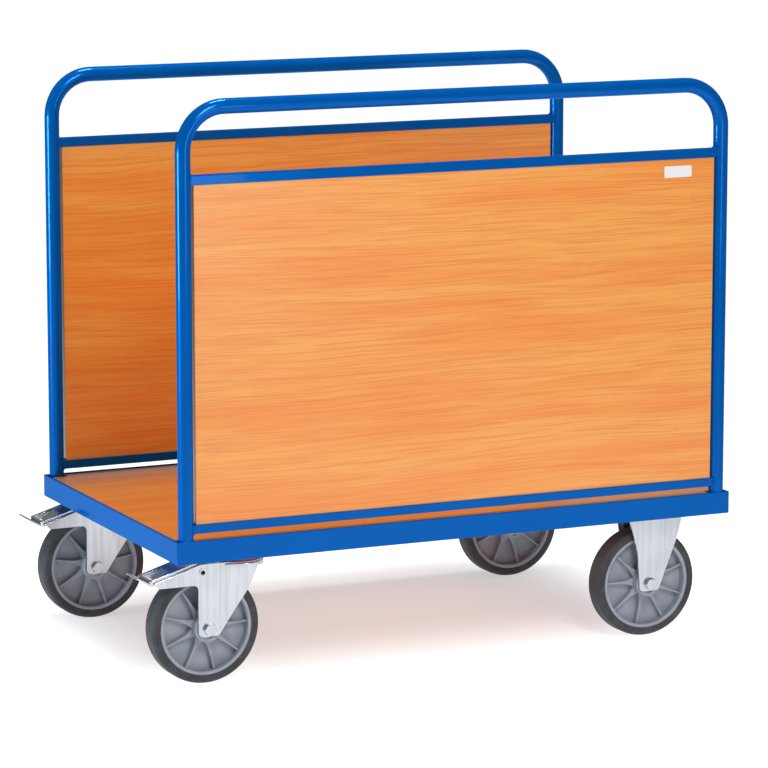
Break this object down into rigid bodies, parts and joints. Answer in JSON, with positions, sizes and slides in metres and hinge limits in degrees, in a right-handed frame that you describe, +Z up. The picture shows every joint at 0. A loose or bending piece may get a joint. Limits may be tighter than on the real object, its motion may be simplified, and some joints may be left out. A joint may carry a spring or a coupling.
{
  "type": "bale trolley",
  "caption": "Flat platform trolley with tubular push hoops and wood-decor side walls on both long sides, on braked swivel castors and fixed castors.",
  "frame": {"origin": "on the floor, in the middle of the overall length and width", "axes": "+X towards the fixed-castor end, +Y towards the left side, +Z up"},
  "size_m": [1.1428, 0.673, 1.021],
  "materials": {
    "blue_paint": "satin powder coat",
    "wood_decor": "smooth beech-decor laminate",
    "zinc_plated_steel": "bright zinc plate",
    "bearing_steel": "ground steel",
    "rim_plastic": "moulded grey nylon",
    "tyre_rubber": "solid elastic rubber",
    "seal_plastic": "red moulded seal",
    "brake_rubber": "black rubber"
  },
  "bodies": {
    "platform": {"castor_bolts": "zinc_plated_steel", "castor_mounting_plates": "blue_paint", "deck_board": "wood_decor", "deck_screws": "zinc_plated_steel", "fixed_axle_bolts": "zinc_plated_steel", "fixed_axle_nuts": "zinc_plated_steel", "fixed_axle_sleeves": "zinc_plated_steel", "fixed_end_cross_bars": "blue_paint", "fixed_end_rail": "blue_paint", "left_fixed_bracket": "zinc_plated_steel", "left_hoop": "blue_paint", "left_king_pin": "zinc_plated_steel", "left_lower_panel_rail": "blue_paint", "left_side_panel": "wood_decor", "left_side_rail": "blue_paint", "left_swivel_plate": "zinc_plated_steel", "left_upper_panel_rail": "blue_paint", "right_fixed_bracket": "zinc_plated_steel", "right_hoop": "blue_paint", "right_king_pin": "zinc_plated_steel", "right_lower_panel_rail": "blue_paint", "right_side_panel": "wood_decor", "right_side_rail": "blue_paint", "right_swivel_plate": "zinc_plated_steel", "right_upper_panel_rail": "blue_paint", "swivel_end_cross_bars": "blue_paint", "swivel_end_rail": "blue_paint"},
    "right_fork": {"right_brake_rivets": "zinc_plated_steel", "right_dust_seal": "seal_plastic", "right_race_balls": "bearing_steel", "right_swivel_axle_bolt": "zinc_plated_steel", "right_swivel_axle_nut": "zinc_plated_steel", "right_swivel_axle_sleeve": "zinc_plated_steel", "right_swivel_fork": "zinc_plated_steel"},
    "left_fork": {"left_brake_rivets": "zinc_plated_steel", "left_dust_seal": "seal_plastic", "left_race_balls": "bearing_steel", "left_swivel_axle_bolt": "zinc_plated_steel", "left_swivel_axle_nut": "zinc_plated_steel", "left_swivel_axle_sleeve": "zinc_plated_steel", "left_swivel_fork": "zinc_plated_steel"},
    "right_swivel_wheel": {"right_swivel_bearings": "bearing_steel", "right_swivel_rim": "rim_plastic", "right_swivel_tyre": "tyre_rubber"},
    "left_swivel_wheel": {"left_swivel_bearings": "bearing_steel", "left_swivel_rim": "rim_plastic", "left_swivel_tyre": "tyre_rubber"},
    "right_fixed_wheel": {"right_fixed_bearings": "bearing_steel", "right_fixed_rim": "rim_plastic", "right_fixed_tyre": "tyre_rubber"},
    "left_fixed_wheel": {"left_fixed_bearings": "bearing_steel", "left_fixed_rim": "rim_plastic", "left_fixed_tyre": "tyre_rubber"},
    "right_pedal": {"right_brake_block": "brake_rubber", "right_brake_pedal": "zinc_plated_steel"},
    "left_pedal": {"left_brake_block": "brake_rubber", "left_brake_pedal": "zinc_plated_steel"}
  },
  "joints": [
    {"name": "right_swivel", "type": "hinge", "parent": "platform", "child": "right_fork", "pos_m": [-0.37155, -0.276, 0.235], "axis": [0, 0, 1], "continuous": true},
    {"name": "right_swivel_wheel_spin", "type": "hinge", "parent": "right_fork", "child": "right_swivel_wheel", "pos_m": [-0.44155, -0.276, 0.1], "axis": [0, 1, 0], "continuous": true},
    {"name": "right_brake_press", "type": "hinge", "parent": "right_fork", "child": "right_pedal", "pos_m": [-0.45355, -0.276, 0.201], "axis": [0, -1, 0], "range_deg": [0, 10]},
    {"name": "right_fixed_wheel_spin", "type": "hinge", "parent": "platform", "child": "right_fixed_wheel", "pos_m": [0.42295, -0.276, 0.1], "axis": [0, 1, 0], "continuous": true},
    {"name": "left_swivel", "type": "hinge", "parent": "platform", "child": "left_fork", "pos_m": [-0.37155, 0.276, 0.235], "axis": [0, 0, 1], "continuous": true},
    {"name": "left_swivel_wheel_spin", "type": "hinge", "parent": "left_fork", "child": "left_swivel_wheel", "pos_m": [-0.44155, 0.276, 0.1], "axis": [0, 1, 0], "continuous": true},
    {"name": "left_brake_press", "type": "hinge", "parent": "left_fork", "child": "left_pedal", "pos_m": [-0.45355, 0.276, 0.201], "axis": [0, -1, 0], "range_deg": [0, 10]},
    {"name": "left_fixed_wheel_spin", "type": "hinge", "parent": "platform", "child": "left_fixed_wheel", "pos_m": [0.42295, 0.276, 0.1], "axis": [0, 1, 0], "continuous": true}
  ]
}
